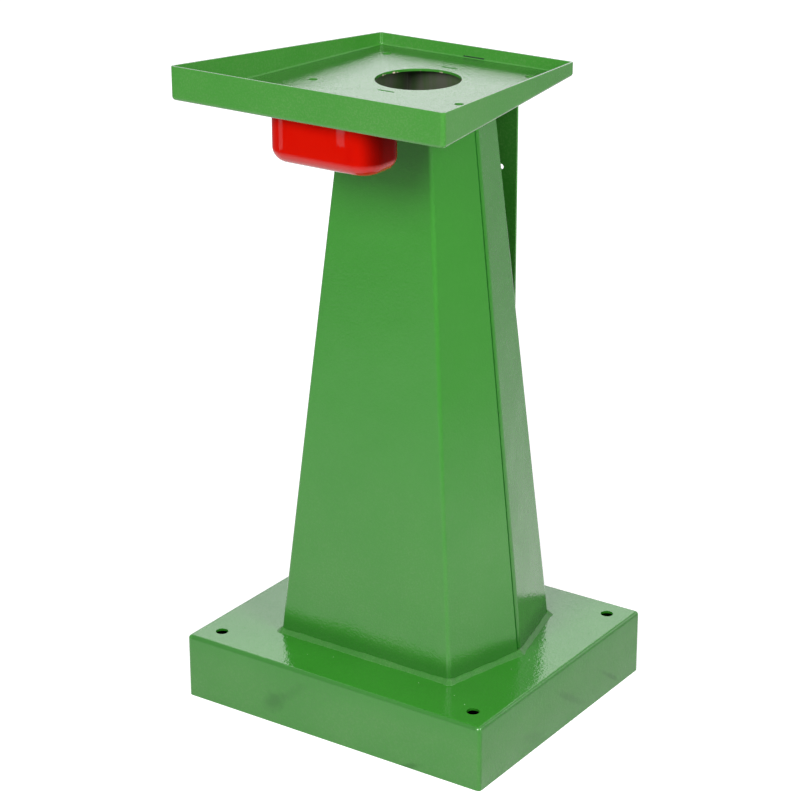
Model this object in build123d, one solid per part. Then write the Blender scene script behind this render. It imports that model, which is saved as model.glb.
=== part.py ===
from build123d import *
import os
from math import sqrt

# Bench grinder stand: a welded sheet-steel pedestal with a tool tray and a pull-out water cup.
# Millimetres, +Z up, -Y is the operator's side. Every shape is drawn about the column's axis,
# and each finished piece is then moved so that the origin is under the middle of the whole stand.

# sheet and folds
sheet = 3.0                # thickness of the stand's steel sheet
inner_bend = 2.0           # inside radius of a fold
outer_bend = inner_bend + sheet
edge_round = 0.6           # rounding of a bare sheet edge under the paint
corner_fill = 3.5          # inside radius of a welded corner
corner_notch = 6.8         # square left open at a folded corner and filled by its weld
tiny = 0.01

# heights
base_height = 85.0
tray_floor = 800.0         # working height, on which the grinder stands
tray_underside = tray_floor - sheet

# base pan, seen from above
base_half_width = 222.0
base_front = -198.0
base_back = 186.0
anchor_half_x = 191.0
anchor_front = -165.5
anchor_back = 154.5
anchor_radius = 8.0
base_opening_radius = 30.0

# column: hexagonal, tapering from foot to head, its foot a little nearer the operator than its head
foot_half_front = 128.5    # half the width of the front face at the foot
foot_half_depth = 116.5
foot_middle = -5.5         # where the foot's middle lies, fore and aft of the head's
head_half_front = 61.0
head_half_depth = 68.5
side_splay = 0.25          # how far a side face runs outward per millimetre towards the seam
seam_plane = -2.4          # where the rear shell is turned in, fore and aft of the column's widest line
seam_fold = 8.0            # outside radius of that fold
seam_flange = 14.0         # how far the turned-in edge reaches below the column's surface
seam_gap = 1.0             # between the front shell's square edge and the turned-in one
seam_recess = 1.6          # depth of the seam's weld below the column's surface
seam_round = 0.5           # rounding of the front shell's edge at a seam

# tray pan
tray_front = -232.0
tray_back = 124.5
tray_half_front = 190.0
tray_half_back = 140.5
front_rim = 41.0           # rim height at the front, from the tray's underside
back_rim = 18.0
cable_radius = 52.0
grinder_half_x = 103.5
grinder_front = -70.0
grinder_back = 84.0
grinder_radius = 5.5

# tabs and their slots
tab_width = 22.5
back_tab_width = 30.0
tab_rise = 2.0             # how far a tab stands into a slot
back_tab_rise = 5.2        # the rear plate's upper tab reaches past the tray's fold
slot_clear = 0.3

# rear plate
plate_half_width = 63.5
plate_hole_x = 41.5
plate_hole_z = 670.0
plate_hole_radius = 3.5

# welds
foot_weld_leg = 5.0
head_weld_leg = 4.0
plate_weld_leg = 4.0
stitch_length = 36.0
tack_length = 14.0
tack_leg = 1.8

# water cup
cup_half_width = 75.0
cup_front = -208.5
cup_back = -134.5
cup_bottom = 736.0
cup_corner = 28.0
cup_bottom_round = 17.0
cup_wall = 2.0
cup_rim = 8.0
cup_rim_top = 795.5
cup_rim_round = 0.8

# rails that hold the cup's rim
rail_sheet = 2.0
rail_clear_side = 0.5
rail_clear_below = 0.3
rail_lip = 6.0             # how far the shelf reaches in under the rim
rail_foot = 16.0           # width of the strip welded to the tray
rail_front = -205.0
rail_stop_gap = 0.5

# the whole stand's middle, from the column's axis
whole_middle = (tray_front + base_back) / 2


def slab(x0, x1, y0, y1, z0, z1):
    """A box given by its two corners."""
    middle = Pos((x0 + x1) / 2, (y0 + y1) / 2, (z0 + z1) / 2)
    return middle * Box(x1 - x0, y1 - y0, z1 - z0)


def drill(x, y, radius, z0, z1):
    """An upright round cutter."""
    return Pos(x, y, (z0 + z1) / 2) * Cylinder(radius, z1 - z0)


def slot(width, y, z0, z1):
    """The cutter of a tab's slot; y is the front face of the tab."""
    half = width / 2 + slot_clear
    return slab(-half, half, y - slot_clear, y + sheet + slot_clear, z0, z1)


def upright_edges(solid, z_middle):
    """The edges that run up the solid, from its lowest to its highest level."""
    return [edge for edge in solid.edges()
            if abs(edge.center().Z - z_middle) < 1 and edge.bounding_box().size.Z > 5]


def level_edges(solid, z):
    """The edges that lie at one level."""
    return [edge for edge in solid.edges()
            if abs(edge.center().Z - z) < tiny and edge.bounding_box().size.Z < tiny]


# ---------------------------------------------------------------- column

def column_section(z, grow=0.0):
    """Half the front face's width, half the depth and the middle at a level; grow offsets the outline."""
    share = (z - base_height) / (tray_underside - base_height)
    half_front = foot_half_front + (head_half_front - foot_half_front) * share
    half_depth = foot_half_depth + (head_half_depth - foot_half_depth) * share
    slant = sqrt(1 + side_splay ** 2)
    return half_front + grow * (slant - side_splay), half_depth + grow, foot_middle * (1 - share)


def column_outline(z, grow=0.0):
    """The hexagon of the column at a level."""
    half_front, half_depth, middle = column_section(z, grow)
    seam = half_front + side_splay * half_depth
    corners = [(-half_front, -half_depth), (half_front, -half_depth), (seam, 0),
               (half_front, half_depth), (-half_front, half_depth), (-seam, 0)]
    return Pos(0, middle, z) * make_face(Polyline(*corners, close=True))


def column_body(z0, z1, grow0=0.0, grow1=0.0, fold=0.0):
    """The column's tapering body between two levels, with rounded folds."""
    body = loft([column_outline(z0, grow0), column_outline(z1, grow1)], ruled=True)
    if fold:
        folds = [edge for edge in upright_edges(body, (z0 + z1) / 2) if abs(edge.center().Y) > 20]
        body = fillet(folds, fold)
    return body


def seam_side(y0, y1):
    """Everything between two distances from the plane of the column's seams, which leans with it."""
    low = column_section(0)[2]
    high = column_section(tray_floor)[2]
    side = Plane.YZ * make_face(Polyline((low + y0, 0), (low + y1, 0), (high + y1, tray_floor),
                                         (high + y0, tray_floor), close=True))
    return extrude(side, foot_half_front * 2, both=True)


def rear_body(grow, edge, fold, seam):
    """The rear half of the column's body: folded at its rear corners and turned in at the seam plane."""
    outlines = []
    for z in (base_height, tray_underside):
        half_front, half_depth, middle = column_section(z, grow)
        wide = half_front + side_splay * (half_depth - edge)
        corners = [(-half_front, half_depth), (half_front, half_depth), (wide, edge), (-wide, edge)]
        outlines.append(Pos(0, middle, z) * make_face(Polyline(*corners, close=True)))
    body = loft(outlines, ruled=True)
    uprights = upright_edges(body, (base_height + tray_underside) / 2)
    body = fillet([edge for edge in uprights if edge.center().Y > 20], fold)
    uprights = upright_edges(body, (base_height + tray_underside) / 2)
    return fillet([edge for edge in uprights if edge.center().Y < 20], seam)


def add_tabs(shell, side):
    """The shell with its tabs at the foot and the head; side is -1 for the front half, 1 for the rear."""
    for z0, z1, level in ((base_height - tab_rise, base_height, base_height),
                          (tray_underside, tray_underside + tab_rise, tray_underside)):
        tab = tab_front(side, level)
        shell = shell + slab(-tab_width / 2, tab_width / 2, tab, tab + sheet, z0, z1)
    return shell


def make_front_shell(wall):
    """The front half of the column, square-edged at the seams."""
    edge_y = seam_plane - seam_gap
    shell = wall & seam_side(-foot_half_front * 2, edge_y)
    middle = (base_height + tray_underside) / 2
    seam_y = column_section(middle)[2] + edge_y
    seam_edges = [edge for edge in upright_edges(shell, middle) if abs(edge.center().Y - seam_y) < 0.1]
    outermost = sorted(seam_edges, key=lambda edge: -abs(edge.center().X))[:2]
    return add_tabs(fillet(outermost, seam_round), -1)


def make_rear_shell(rear_outer):
    """The rear half of the column, with its edges turned in behind the front half's."""
    hollow = rear_body(-sheet, seam_plane + sheet, inner_bend, seam_fold - sheet)
    between = column_body(base_height, tray_underside, -seam_flange, -seam_flange)
    between = between & seam_side(seam_plane - 1, seam_plane + sheet + 1)
    return add_tabs(rear_outer - hollow - between, 1)


def tab_front(side, level):
    """The front face of a shell's tab at the column's foot or head."""
    half_front, half_depth, middle = column_section(level)
    return middle - half_depth if side < 0 else middle + half_depth - sheet


def make_column():
    """Two folded shells, the two recessed seam welds between them, and the fillet bead round the foot."""
    outer = column_body(base_height, tray_underside, fold=outer_bend)
    inner = column_body(base_height, tray_underside, -sheet, -sheet, fold=inner_bend)
    rear_outer = rear_body(0, seam_plane, outer_bend, seam_fold)
    seam_start = seam_plane - seam_gap
    bead = column_body(base_height, tray_underside, -seam_recess, -seam_recess) - inner
    bead = bead & seam_side(seam_start, seam_plane + seam_fold)
    bead = bead - rear_outer
    left, right = sorted(bead.solids(), key=lambda solid: solid.center().X)

    foot = column_body(base_height, base_height + foot_weld_leg, foot_weld_leg, 0.3)
    corners = upright_edges(foot, base_height + foot_weld_leg / 2)
    foot = fillet([edge for edge in corners if edge.length < 3 * foot_weld_leg], 3.0)
    front_outer = outer & seam_side(-foot_half_front * 2, seam_start)
    foot = foot - front_outer - rear_outer - inner - left - right
    return {"column_front_shell": make_front_shell(outer - inner),
            "column_rear_shell": make_rear_shell(rear_outer),
            "column_seam_weld_left": left, "column_seam_weld_right": right, "column_foot_weld": foot}


def make_head_welds():
    """Short beads between the column's head and the tray's underside."""
    column = column_body(base_height, tray_underside, fold=outer_bend)
    head_low = tray_underside - head_weld_leg
    ring = column_body(head_low, tray_underside, 0.3, head_weld_leg) - column
    half = stitch_length / 2
    side_x = head_half_front + side_splay * head_half_depth / 2
    spots = [(0, -head_half_depth, half), (0, head_half_depth, half)]
    spots += [(x, y, half / 2) for x in (-side_x, side_x) for y in (-head_half_depth / 2, head_half_depth / 2)]
    beads = [ring & slab(x - half, x + half, y - reach, y + reach, head_low - 1, tray_underside + 1)
             for x, y, reach in spots]
    return {"column_head_welds": beads}


# ---------------------------------------------------------------- folded pans

def folded_corners(corners, z0, z1):
    """Upright squares at the pan's corners, named by where they are."""
    squares = {}
    for name, (x, y) in corners.items():
        squares[name] = slab(x - corner_notch, x + corner_notch, y - corner_notch, y + corner_notch, z0, z1)
    return squares


def base_shell():
    """The base pan's folded skin, corners still joined."""
    depth = base_back - base_front
    plan = Pos(0, (base_front + base_back) / 2, 0) * Rectangle(base_half_width * 2, depth)
    outer = extrude(plan, base_height)
    outer = fillet(upright_edges(outer, base_height / 2), outer_bend)
    outer = fillet(level_edges(outer, base_height), outer_bend)
    inner = extrude(offset(plan, -sheet, kind=Kind.INTERSECTION), base_height - sheet)
    inner = fillet(upright_edges(inner, (base_height - sheet) / 2), corner_fill)
    inner = fillet(level_edges(inner, base_height - sheet), inner_bend)
    return outer - inner


def make_base():
    """The base pan with its holes and slots, and its four corner welds."""
    shell = base_shell()
    corners = {"front_left": (-base_half_width, base_front), "front_right": (base_half_width, base_front),
               "rear_left": (-base_half_width, base_back), "rear_right": (base_half_width, base_back)}
    pieces = {}
    pan = shell
    for name, square in folded_corners(corners, 0, base_height).items():
        pieces["base_corner_weld_" + name] = shell & square
        pan = pan - square
    floor = base_height - sheet
    for x in (-anchor_half_x, anchor_half_x):
        for y in (anchor_front, anchor_back):
            pan = pan - drill(x, y, anchor_radius, floor - 1, base_height + 1)
    pan = pan - drill(0, 0, base_opening_radius, floor - 1, base_height + 1)
    for side in (-1, 1):
        pan = pan - slot(tab_width, tab_front(side, base_height), floor - 1, base_height + 1)
    pan = pan - slot(back_tab_width, tray_back - sheet, floor - 1, base_height + 1)
    pieces["base_pan"] = pan
    return pieces


def rim_cutter():
    """Everything above the tray's sloping rim."""
    top = tray_underside + front_rim
    fall = (front_rim - back_rim) / (tray_back - tray_front)
    margin = 20
    high_end = top + fall * margin
    low_end = top - fall * (tray_back - tray_front + margin)
    side = Plane.YZ * make_face(Polyline((tray_front - margin, high_end), (tray_front - margin, top + 60),
                                         (tray_back + margin, top + 60), (tray_back + margin, low_end),
                                         close=True))
    return extrude(side, tray_half_front + margin, both=True)


def tray_shell():
    """The tray's folded skin, corners still joined."""
    plan = make_face(Polyline((-tray_half_front, tray_front), (tray_half_front, tray_front),
                              (tray_half_back, tray_back), (-tray_half_back, tray_back), close=True))
    tall = front_rim + 5
    outer = Pos(0, 0, tray_underside) * extrude(plan, tall)
    outer = fillet(upright_edges(outer, tray_underside + tall / 2), outer_bend)
    outer = fillet(level_edges(outer, tray_underside), outer_bend)
    inner = Pos(0, 0, tray_floor) * extrude(offset(plan, -sheet, kind=Kind.INTERSECTION), tall)
    inner = fillet(upright_edges(inner, tray_floor + tall / 2), corner_fill)
    inner = fillet(level_edges(inner, tray_floor), inner_bend)
    shell = outer - inner - rim_cutter()
    return fillet(rim_edges(shell), edge_round)


def rim_edges(shell):
    """The edges of the rim's top, which lie in its sloping plane."""
    top = tray_underside + front_rim
    fall = (front_rim - back_rim) / (tray_back - tray_front)
    edges = []
    for edge in shell.edges():
        points = [edge @ 0, edge @ 0.5, edge @ 1]
        if all(abs(point.Z - (top - fall * (point.Y - tray_front))) < 0.02 for point in points):
            edges.append(edge)
    return edges


def make_tray():
    """The tray pan with its holes and slots, and its four corner welds."""
    shell = tray_shell()
    corners = {"front_left": (-tray_half_front, tray_front), "front_right": (tray_half_front, tray_front),
               "rear_left": (-tray_half_back, tray_back), "rear_right": (tray_half_back, tray_back)}
    pieces = {}
    pan = shell
    for name, square in folded_corners(corners, tray_underside, tray_underside + front_rim).items():
        pieces["tray_corner_weld_" + name] = shell & square
        pan = pan - square
    pan = pan - drill(0, 0, cable_radius, tray_underside - 1, tray_floor + 1)
    for x in (-grinder_half_x, grinder_half_x):
        for y in (grinder_front, grinder_back):
            pan = pan - drill(x, y, grinder_radius, tray_underside - 1, tray_floor + 1)
    for side in (-1, 1):
        pan = pan - slot(tab_width, tab_front(side, tray_underside), tray_underside - 1, tray_floor + 1)
    pan = pan - slot(back_tab_width, tray_back - sheet, tray_underside - 1,
                     tray_underside + back_tab_rise + slot_clear)
    pieces["tray_pan"] = pan
    return pieces


# ---------------------------------------------------------------- rear plate

def plate_stitches():
    """The two lengths of weld on either side of the plate's tab."""
    clear = (plate_half_width + back_tab_width / 2) / 2
    return [(side * clear - stitch_length / 2, side * clear + stitch_length / 2) for side in (-1, 1)]


def make_rear_plate(tray):
    """The upright plate behind the column, with its tabs, holes and welds."""
    front = tray_back - sheet
    plate = slab(-plate_half_width, plate_half_width, front, tray_back, base_height, tray_underside)
    half_tab = back_tab_width / 2
    plate = plate + slab(-half_tab, half_tab, front, tray_back, base_height - tab_rise,
                         tray_underside + back_tab_rise)
    for x in (-plate_hole_x, plate_hole_x):
        plate = plate - Pos(x, tray_back, plate_hole_z) * Rot(90, 0, 0) * Cylinder(plate_hole_radius, 4 * sheet)

    head = []
    foot = []
    for x0, x1 in plate_stitches():
        groove = slab(x0, x1, front + 0.5, tray_back, tray_underside, tray_floor)
        head.append(groove - tray)
        section = Plane.YZ * Pos(tray_back, base_height) * make_face([
            Line((0, 0), (plate_weld_leg, 0)),
            RadiusArc((plate_weld_leg, 0), (0, plate_weld_leg), -plate_weld_leg * 1.4),
            Line((0, plate_weld_leg), (0, 0))])
        foot.append(Pos(x0, 0, 0) * extrude(section, x1 - x0, dir=(1, 0, 0)))
    return {"rear_plate": plate, "rear_plate_head_welds": head, "rear_plate_foot_welds": foot}


# ---------------------------------------------------------------- water cup and its rails

def cup_block(grow, corner, z0, z1):
    """A block with the cup's rounded plan, larger by grow all round."""
    plan = RectangleRounded(2 * (cup_half_width + grow), cup_back - cup_front + 2 * grow, corner)
    return Pos(0, (cup_front + cup_back) / 2, z0) * extrude(plan, z1 - z0)


def make_cup():
    """The water cup: a deep rounded box, open at the top, with an outward rim."""
    outer = cup_block(0, cup_corner, cup_bottom, cup_rim_top)
    outer = fillet(level_edges(outer, cup_bottom), cup_bottom_round)
    rim = cup_block(cup_rim, cup_corner + cup_rim, cup_rim_top - cup_wall, cup_rim_top)
    rim = fillet(level_edges(rim, cup_rim_top) + level_edges(rim, cup_rim_top - cup_wall), cup_rim_round)
    inner = cup_block(-cup_wall, cup_corner - cup_wall, cup_bottom + cup_wall, cup_rim_top + 1)
    inner = fillet(level_edges(inner, cup_bottom + cup_wall), cup_bottom_round - cup_wall)
    return {"water_cup": outer + rim - inner}


def rail_right():
    """The right rail: a folded Z strip whose rear end is turned up as the cup's stop."""
    web = cup_half_width + cup_rim + rail_clear_side
    shelf_top = cup_rim_top - cup_wall - rail_clear_below
    shelf_low = shelf_top - rail_sheet
    back = cup_back + cup_rim + rail_stop_gap + rail_sheet
    lip = web - rail_clear_side - rail_lip
    section = Plane.XZ * make_face(Polyline(
        (lip, shelf_low), (web + rail_sheet, shelf_low), (web + rail_sheet, tray_underside - rail_sheet),
        (web + rail_foot, tray_underside - rail_sheet), (web + rail_foot, tray_underside),
        (web, tray_underside), (web, shelf_top), (lip, shelf_top), close=True))
    strip = Pos(0, back, 0) * extrude(section, back - rail_front, dir=(0, -1, 0))
    stop = slab(lip, web + tiny, back - rail_sheet, back, shelf_low + tiny, tray_underside - 1.2)
    return strip + stop


def make_rails():
    """Both rails, and the tack welds along their outer edges."""
    right = rail_right()
    left = mirror(right, Plane.YZ)
    edge = cup_half_width + cup_rim + rail_clear_side + rail_foot
    back = cup_back + cup_rim
    beads = []
    for side in (-1, 1):
        for y in (rail_front + 2 * tack_length, back - 2 * tack_length):
            section = Plane.XZ * make_face(Polyline((side * edge, tray_underside),
                                                    (side * (edge + tack_leg), tray_underside),
                                                    (side * edge, tray_underside - tack_leg), close=True))
            beads.append(Pos(0, y + tack_length / 2, 0) * extrude(section, tack_length, dir=(0, -1, 0)))
    return {"cup_rail_left": left, "cup_rail_right": right, "cup_rail_welds": beads}


# ---------------------------------------------------------------- the stand

def make_stand():
    """Every piece of the stand, by name, about the column's axis."""
    pieces = {}
    pieces.update(make_base())
    pieces.update(make_column())
    pieces.update(make_head_welds())
    pieces.update(make_tray())
    pieces.update(make_rear_plate(pieces["tray_pan"]))
    pieces.update(make_rails())
    pieces.update(make_cup())
    return pieces


os.makedirs("parts", exist_ok=True)
for name, shape in make_stand().items():
    solids = [solid for item in (shape if isinstance(shape, list) else [shape]) for solid in item.solids()]
    moved = [Pos(0, -whole_middle, 0) * solid for solid in solids]
    piece = moved[0] if len(moved) == 1 else Compound(children=moved)
    export_step(piece, os.path.join("parts", name + ".step"))
    print(name, len(moved), round(sum(solid.volume for solid in moved)))
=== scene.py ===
import math
import bmesh
import bpy
from mathutils import Matrix, Vector, noise


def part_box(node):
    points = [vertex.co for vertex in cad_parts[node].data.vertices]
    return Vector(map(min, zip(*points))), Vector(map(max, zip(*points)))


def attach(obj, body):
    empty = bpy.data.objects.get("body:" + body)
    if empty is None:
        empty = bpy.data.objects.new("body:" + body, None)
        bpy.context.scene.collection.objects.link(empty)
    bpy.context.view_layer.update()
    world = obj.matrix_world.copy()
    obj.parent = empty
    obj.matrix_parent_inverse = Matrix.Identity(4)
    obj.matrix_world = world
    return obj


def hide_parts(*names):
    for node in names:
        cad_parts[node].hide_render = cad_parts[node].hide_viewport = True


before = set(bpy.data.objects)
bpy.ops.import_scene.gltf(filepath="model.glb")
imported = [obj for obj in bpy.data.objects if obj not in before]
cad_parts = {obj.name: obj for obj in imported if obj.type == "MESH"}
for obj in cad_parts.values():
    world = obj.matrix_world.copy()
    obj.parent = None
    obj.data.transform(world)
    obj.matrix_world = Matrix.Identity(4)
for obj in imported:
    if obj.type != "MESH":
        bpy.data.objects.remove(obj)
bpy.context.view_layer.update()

# Bench grinder stand: green powder-coated sheet steel with a red enamelled water cup.
# Metres, +Z up, -Y is the operator's side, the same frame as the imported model.

mm = 0.001
scene = bpy.context.scene


# the camera

cameraView = {"place": (1.6492, -2.4226, 1.5456), "yaw": 34.4348, "pitch": -21.3782, "roll": -0.1535,
              "lens": 114.3812, "sensor": 36.0, "reach": 60.0}  # metres, degrees and millimetres

def placeCamera(view):
    turn = (Matrix.Rotation(math.radians(view["yaw"]), 4, "Z")
            @ Matrix.Rotation(math.radians(90 + view["pitch"]), 4, "X")
            @ Matrix.Rotation(math.radians(view["roll"]), 4, "Z"))
    data = bpy.data.cameras.new("standCamera")
    data.sensor_width = view["sensor"]
    data.lens = view["lens"]
    data.clip_end = view["reach"]
    camera = bpy.data.objects.new("standCamera", data)
    camera.matrix_world = Matrix.Translation(view["place"]) @ turn
    scene.collection.objects.link(camera)
    scene.camera = camera

placeCamera(cameraView)

# small helpers for shader trees

def addNode(tree, kind, **settings):
    made = tree.nodes.new(kind)
    for name, value in settings.items():
        setattr(made, name, value)
    return made

def joinTo(tree, source, target):
    tree.links.new(source, target)

def feed(tree, target, value):  # a link where value is a socket, else the socket's own number
    if isinstance(value, bpy.types.NodeSocket):
        joinTo(tree, value, target)
    else:
        target.default_value = value

def mathNode(tree, operation, *values):
    made = addNode(tree, "ShaderNodeMath", operation=operation)
    for socket, value in zip(made.inputs, values):
        feed(tree, socket, value)
    return made.outputs[0]

def vectorNode(tree, operation, *values):
    made = addNode(tree, "ShaderNodeVectorMath", operation=operation)
    for socket, value in zip(made.inputs, values):
        feed(tree, socket, value)
    return made.outputs["Value"] if operation in ("LENGTH", "DOT_PRODUCT") else made.outputs["Vector"]

def mixColour(tree, amount, first, second):  # sockets 6 and 7 are the colours of a Mix node
    made = addNode(tree, "ShaderNodeMix", data_type="RGBA")
    feed(tree, made.inputs[0], amount)
    feed(tree, made.inputs[6], first)
    feed(tree, made.inputs[7], second)
    return made.outputs[2]

def mapRange(tree, value, low, high, toLow, toHigh):
    made = addNode(tree, "ShaderNodeMapRange", interpolation_type="SMOOTHSTEP")
    for socket, number in zip(made.inputs, (value, low, high, toLow, toHigh)):
        feed(tree, socket, number)
    return made.outputs[0]

def noiseValue(tree, where, scale=1.0, detail=2.0, roughness=0.5, stretch=None, span=None):
    made = addNode(tree, "ShaderNodeTexNoise")
    feed(tree, made.inputs["Vector"], vectorNode(tree, "MULTIPLY", where, stretch) if stretch else where)
    feed(tree, made.inputs["Scale"], scale)
    made.inputs["Detail"].default_value = detail
    made.inputs["Roughness"].default_value = roughness
    return mapRange(tree, made.outputs[0], *span) if span else made.outputs[0]

def product(tree, first, *others):
    for other in others:
        first = mathNode(tree, "MULTIPLY", first, other)
    return first

def swing(tree, value, reach):  # a noise value as a move of half the reach to either side
    return mathNode(tree, "MULTIPLY_ADD", value, reach, -reach / 2)

def objectPlace(tree):  # where a point lies on the stand
    return addNode(tree, "ShaderNodeTexCoord").outputs["Object"]

def axisPart(tree, vector, axis):
    parts = addNode(tree, "ShaderNodeSeparateXYZ")
    joinTo(tree, vector, parts.inputs[0])
    return parts.outputs[axis]

def raiseSurface(tree, shader, height, relief):
    bump = addNode(tree, "ShaderNodeBump")
    bump.inputs["Distance"].default_value = relief
    joinTo(tree, height, bump.inputs["Height"])
    joinTo(tree, bump.outputs["Normal"], shader.inputs["Normal"])

def startMaterial(name):
    material = bpy.data.materials.new(name)
    material.use_nodes = True
    return material, material.node_tree, material.node_tree.nodes["Principled BSDF"]

def startGroup(name, inputs, outputs):  # inputs are given by their first values, outputs by their kind
    group = bpy.data.node_groups.new(name, "ShaderNodeTree")
    for title, value in inputs.items():
        kind = "Float" if isinstance(value, float) else "Vector" if len(value) == 3 else "Color"
        socket = group.interface.new_socket(title, in_out="INPUT", socket_type="NodeSocket" + kind)
        socket.default_value = value
    for title, kind in outputs.items():
        group.interface.new_socket(title, in_out="OUTPUT", socket_type="NodeSocket" + kind)
    return group, addNode(group, "NodeGroupInput"), addNode(group, "NodeGroupOutput")

def useGroup(tree, group, **values):  # each group has one output
    made = addNode(tree, "ShaderNodeGroup", node_tree=group)
    for name, value in values.items():
        feed(tree, made.inputs[name], value)
    return made.outputs[0]

def toRgb(red, green, blue):  # linear colour of an 8-bit tone
    def lift(channel):
        share = channel / 255
        return share / 12.92 if share <= 0.04045 else ((share + 0.055) / 1.055) ** 2.4
    return (lift(red), lift(green), lift(blue), 1.0)


# shared surface effects
# a noise's scale is in cells per metre, and its span says from which of its values to which of the effect's

peelNoise = {"dimples": {"detail": 1.0, "roughness": 0.4}, "grit": {"detail": 0.0}, "gritRatio": 2.7,
             "swell": {"scale": 14.0, "detail": 1.0, "roughness": 0.4}}

def orangePeelGroup(look):  # the fine dimples of sprayed powder and the slow swell of the sheet below it
    inputs = {"Cell": 3 * mm, "Grit": 0.4, "Swell": 1.0}
    group, taken, given = startGroup("orangePeel", inputs, {"Height": "Float"})
    where = objectPlace(group)
    perMetre = mathNode(group, "DIVIDE", 1.0, taken.outputs["Cell"])
    dimples = noiseValue(group, where, perMetre, **look["dimples"])
    grit = noiseValue(group, where, product(group, perMetre, look["gritRatio"]), **look["grit"])
    swell = noiseValue(group, where, **look["swell"])
    height = mathNode(group, "MULTIPLY_ADD", grit, taken.outputs["Grit"], dimples)
    height = mathNode(group, "MULTIPLY_ADD", swell, taken.outputs["Swell"], height)
    joinTo(group, height, given.inputs["Height"])
    return group

driftNoise = {"slow": {"scale": 5.0, "detail": 3.0, "span": (0.35, 0.7, 0.0, 1.0)},
              "fine": {"scale": 160.0, "span": (0.45, 0.75, 0.0, 0.35)}}

def toneDriftGroup(look):  # coat thickness changes its tone slowly over a sheet
    grey = (0.5, 0.5, 0.5, 1.0)
    inputs = {"Colour": grey, "Thin": grey, "Amount": 0.3}
    group, taken, given = startGroup("toneDrift", inputs, {"Colour": "Color"})
    where = objectPlace(group)
    slow, fine = (noiseValue(group, where, **look[part]) for part in ("slow", "fine"))
    share = product(group, mathNode(group, "ADD", slow, fine), taken.outputs["Amount"])
    mixed = mixColour(group, share, taken.outputs["Colour"], taken.outputs["Thin"])
    joinTo(group, mixed, given.inputs["Colour"])
    return group

filmNoise = {"cloud": {"scale": 9.0, "detail": 4.0, "roughness": 0.6, "span": (0.48, 0.72, 0.0, 1.0)},
             "wipe": {"stretch": (70.0, 70.0, 9.0), "detail": 3.0, "span": (0.4, 0.75, 0.35, 1.0)}}

def handlingGroup(look):  # wiped dust and finger film: cloudy patches where the gloss is a little broken
    inputs = {"Amount": 0.5, "Clean": 0.12, "Hazy": 0.3}
    group, taken, given = startGroup("handling", inputs, {"Roughness": "Float"})
    where = objectPlace(group)
    cloud, wipe = (noiseValue(group, where, **look[part]) for part in ("cloud", "wipe"))
    film = product(group, cloud, wipe, taken.outputs["Amount"])
    haze = mathNode(group, "SUBTRACT", taken.outputs["Hazy"], taken.outputs["Clean"])
    roughness = mathNode(group, "MULTIPLY_ADD", film, haze, taken.outputs["Clean"])
    joinTo(group, roughness, given.inputs["Roughness"])
    return group

rubNoise = {"ragged": {"scale": 90.0, "detail": 3.0}, "raggedReach": 0.9, "edge": (0.2, 1.0, 1.0, 0.0)}

def rubMarkGroup(look):  # one soft rub mark of a given place and reach
    inputs = {"Place": (0.0, 0.0, 0.0), "Reach": (0.02, 0.02, 0.02), "Slant": 0.0, "Strength": 0.5}
    group, taken, given = startGroup("rubMark", inputs, {"Mask": "Float"})
    where = objectPlace(group)
    offset = vectorNode(group, "SUBTRACT", where, taken.outputs["Place"])
    sideways = vectorNode(group, "DOT_PRODUCT", offset, (1, 1, 0))
    drop = addNode(group, "ShaderNodeCombineXYZ")  # the mark runs downhill by the slant
    joinTo(group, product(group, sideways, taken.outputs["Slant"]), drop.inputs["Z"])
    slanted = vectorNode(group, "ADD", offset, drop.outputs[0])
    away = vectorNode(group, "LENGTH", vectorNode(group, "DIVIDE", slanted, taken.outputs["Reach"]))
    ragged = swing(group, noiseValue(group, where, **look["ragged"]), look["raggedReach"])
    inside = mapRange(group, mathNode(group, "ADD", away, ragged), *look["edge"])
    joinTo(group, product(group, inside, taken.outputs["Strength"]), given.inputs["Mask"])
    return group

dustNoise = {"cloud": {"scale": 11.0, "detail": 4.0, "roughness": 0.6, "span": (0.3, 0.7, 0.65, 1.3)},
             "speck": {"scale": 420.0, "detail": 1.0, "span": (0.45, 0.7, 0.85, 1.6)}, "leastHigh": 0.15}

def dustVeilGroup(look):  # pale dust that thins out with height, cloudy and a little speckled
    inputs = {"Amount": 0.04, "Full": 0.1, "Clear": 0.4}
    group, taken, given = startGroup("dustVeil", inputs, {"Mask": "Float"})
    where = objectPlace(group)
    thinned = mapRange(group, axisPart(group, where, "Z"), taken.outputs["Full"], taken.outputs["Clear"],
                       1.0, look["leastHigh"])
    cloud, speck = (noiseValue(group, where, **look[part]) for part in ("cloud", "speck"))
    joinTo(group, product(group, cloud, speck, thinned, taken.outputs["Amount"]), given.inputs["Mask"])
    return group

orangePeel = orangePeelGroup(peelNoise)
toneDrift = toneDriftGroup(driftNoise)
handling = handlingGroup(filmNoise)
rubMark = rubMarkGroup(rubNoise)
dustVeil = dustVeilGroup(dustNoise)
print("surface effects made")


# green powder coat

coatIor = 1.5  # of the powder coat and of the enamel

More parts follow.
